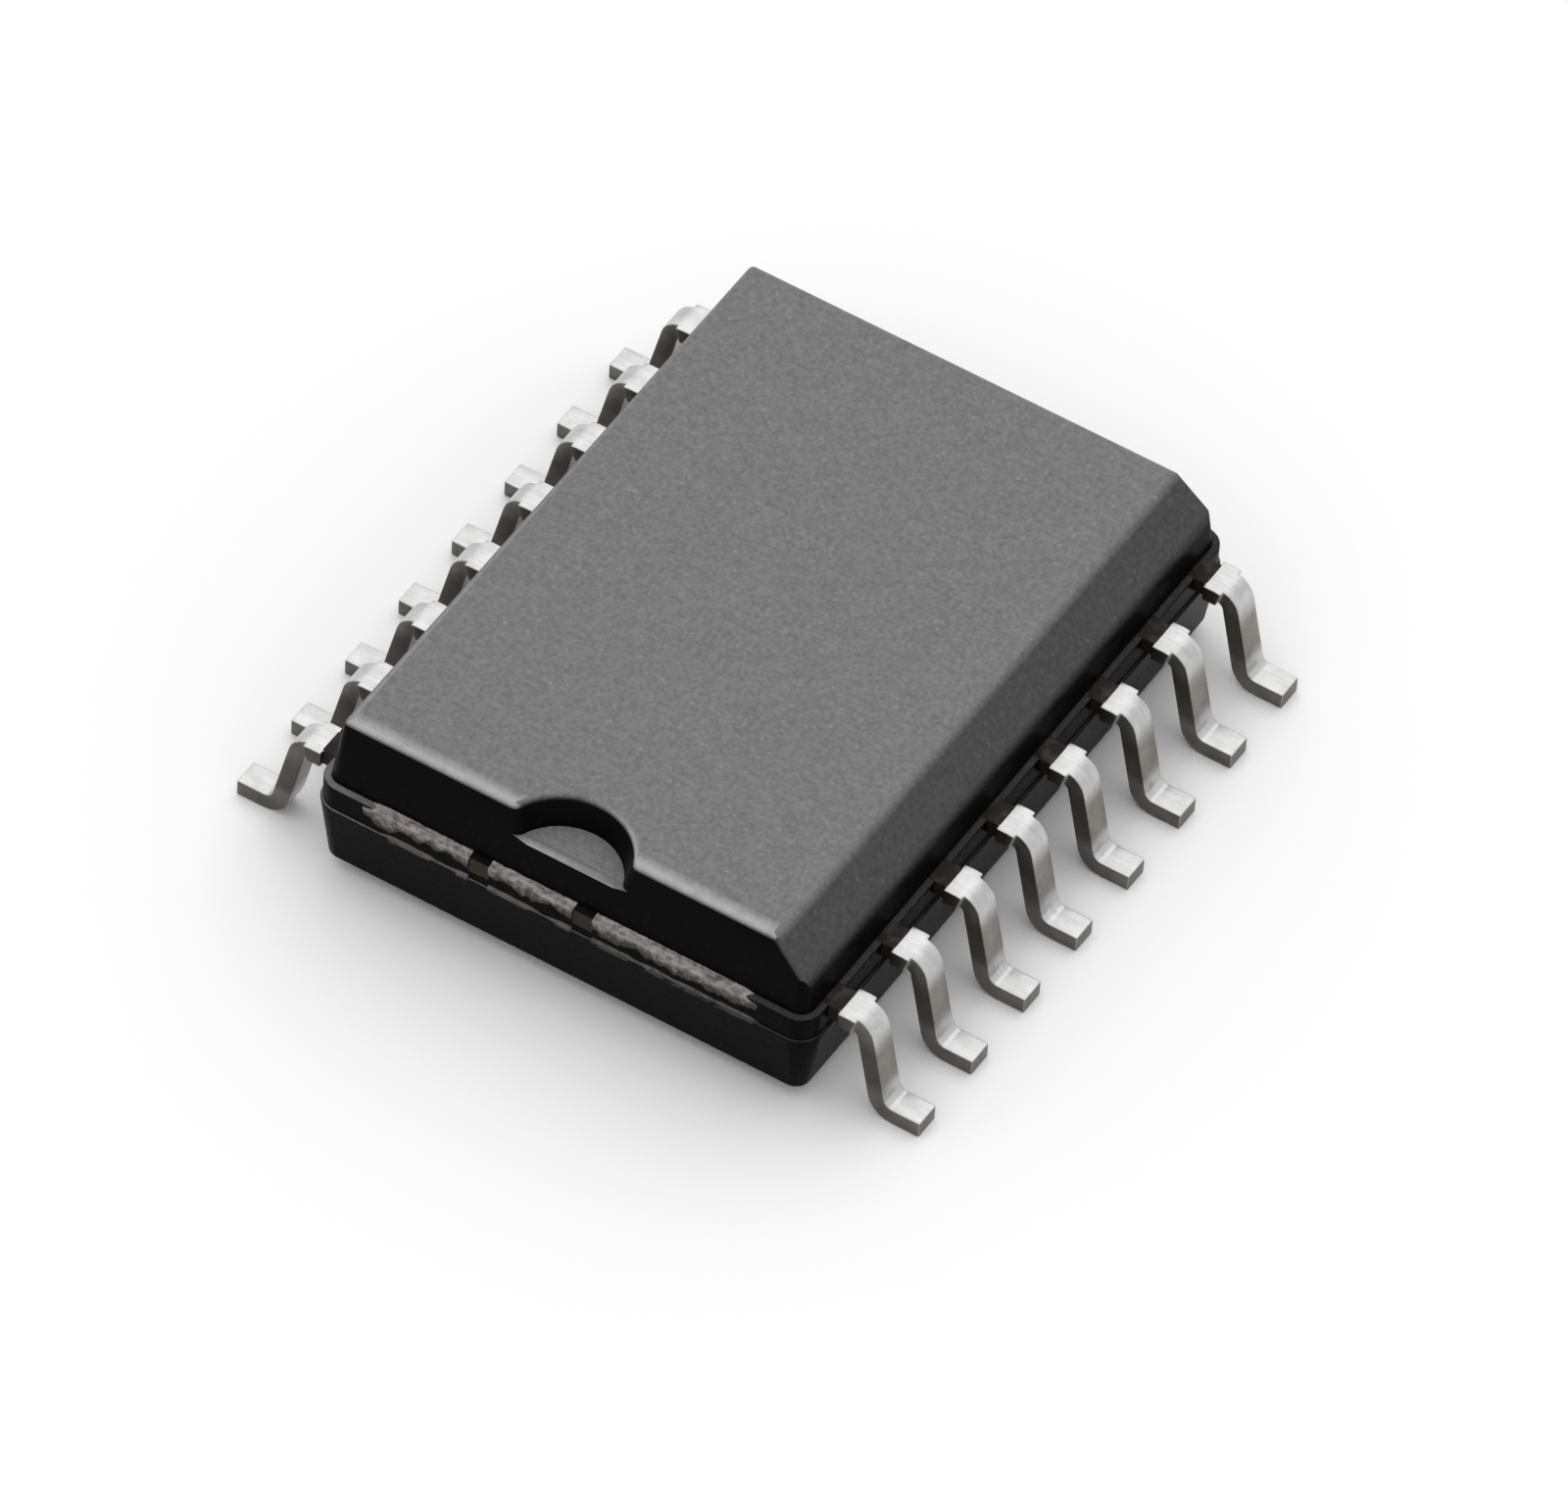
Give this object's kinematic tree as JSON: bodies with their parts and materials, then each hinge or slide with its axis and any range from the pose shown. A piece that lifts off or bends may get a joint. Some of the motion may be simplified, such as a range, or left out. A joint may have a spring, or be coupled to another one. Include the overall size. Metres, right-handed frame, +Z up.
{
  "type": "digital isolator",
  "caption": "Wide-body small-outline digital isolator: black moulded package with a chamfered edge and an index notch, gull-wing leads, and a split lead frame with transformer dies inside.",
  "frame": {"origin": "middle of the footprint on the seating plane, where the soles of the leads rest", "axes": "+Z up, away from the board; +Y along the body towards the end with the index notch; pins 1 to 8 leave towards -X and pins 9 to 16 towards +X"},
  "size_m": [0.0104, 0.0104, 0.0026],
  "materials": {
    "mould_compound": "fine matte black epoxy with a grain left by the mould",
    "tin_plate": "satin tin plate on copper alloy",
    "lead_frame_copper": "bare copper alloy sheet",
    "silicon": "polished silicon",
    "coil_film": "amber polyimide over coils",
    "die_attach": "silver-filled adhesive",
    "gold_wire": "drawn gold wire"
  },
  "bodies": {
    "root": {"moulded_body": "mould_compound", "lead_01": "tin_plate", "lead_02": "tin_plate", "lead_03": "tin_plate", "lead_04": "tin_plate", "lead_05": "tin_plate", "lead_06": "tin_plate", "lead_07": "tin_plate", "lead_08": "tin_plate", "lead_09": "tin_plate", "lead_10": "tin_plate", "lead_11": "tin_plate", "lead_12": "tin_plate", "lead_13": "tin_plate", "lead_14": "tin_plate", "lead_15": "tin_plate", "lead_16": "tin_plate", "primary_pad": "lead_frame_copper", "secondary_pad": "lead_frame_copper", "primary_die": "silicon", "secondary_die": "silicon", "data_transformer_die": "coil_film", "power_transformer_die": "coil_film", "primary_die_attach": "die_attach", "secondary_die_attach": "die_attach", "data_transformer_attach": "die_attach", "power_transformer_attach": "die_attach", "primary_lead_wires": "gold_wire", "driver_wires": "gold_wire", "isolation_wires": "gold_wire", "secondary_lead_wires": "gold_wire"}
  },
  "joints": []
}
